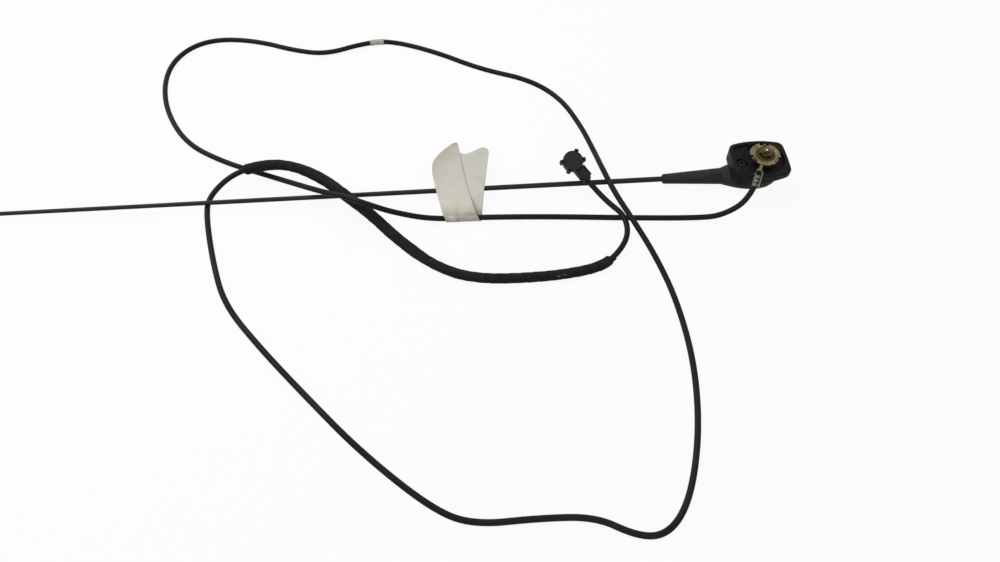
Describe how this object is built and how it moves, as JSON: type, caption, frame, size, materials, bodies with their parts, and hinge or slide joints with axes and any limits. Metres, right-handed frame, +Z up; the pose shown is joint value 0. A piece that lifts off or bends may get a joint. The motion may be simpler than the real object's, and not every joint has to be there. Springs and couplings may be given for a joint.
{
  "type": "car radio antenna",
  "caption": "Car roof antenna: wedge foot with a domed housing, tapered whip mast, claw-ring roof fixing, and a long aerial lead with a cloth-taped stretch, paper tag and right-angle plug.",
  "frame": {"origin": "on the floor under the spigot's axis, at the middle of the worn land on the housing's crown", "axes": "+Z up with the fixing side of the foot upward, -X along the mast from the foot, +Y away from the picture's viewer"},
  "size_m": [0.807, 0.5627, 0.0402],
  "materials": {
    "mast_coat": "satin black coating",
    "boot_rubber": "dull, dusty",
    "housing_plastic": "dull moulded",
    "pad_rubber": "matt black",
    "screw_steel": "darkened plating",
    "stud_steel": "turned, worn bright at the tip",
    "nut_steel": "yellowish plating",
    "ring_zinc": "yellow zinc plating, worn",
    "zinc": "dull zinc",
    "brass": "tarnished",
    "washer_fibre": "olive-brown fibre",
    "insulator": "natural plastic",
    "terminal_tin": "tinned, dull",
    "core_insulation": "natural plastic",
    "cable_jacket": "semi-matt jacket",
    "cloth_tape": "matt woven tape",
    "marker_tape": "grey-beige tape",
    "paper": "aged masking paper",
    "plug_metal": "dull grey plating",
    "plug_plastic": "dark grey moulding",
    "plug_plating": "nickel plate",
    "clamp_steel": "dark plating"
  },
  "bodies": {
    "root": {"mast_rod": "mast_coat", "mast_boot": "boot_rubber", "mast_ferrule": "zinc", "neck_insert": "brass", "housing": "housing_plastic", "base_pad": "pad_rubber", "housing_screw": "screw_steel", "spigot": "zinc", "insulating_bush": "insulator", "centre_stud": "stud_steel", "contact_strap": "brass", "claw_ring": "ring_zinc", "insulating_washer": "washer_fibre", "stud_nut": "nut_steel", "cable_terminal": "terminal_tin", "cable_core": "core_insulation", "coax_cable": "cable_jacket", "cloth_tape_wrap": "cloth_tape", "marker_band": "marker_tape", "paper_tag": "paper", "plug_body": "plug_metal", "plug_cap": "plug_plastic", "plug_sleeve": "plug_plating", "plug_insulator": "insulator", "plug_pin": "plug_plating", "plug_clamp": "clamp_steel"}
  },
  "joints": []
}
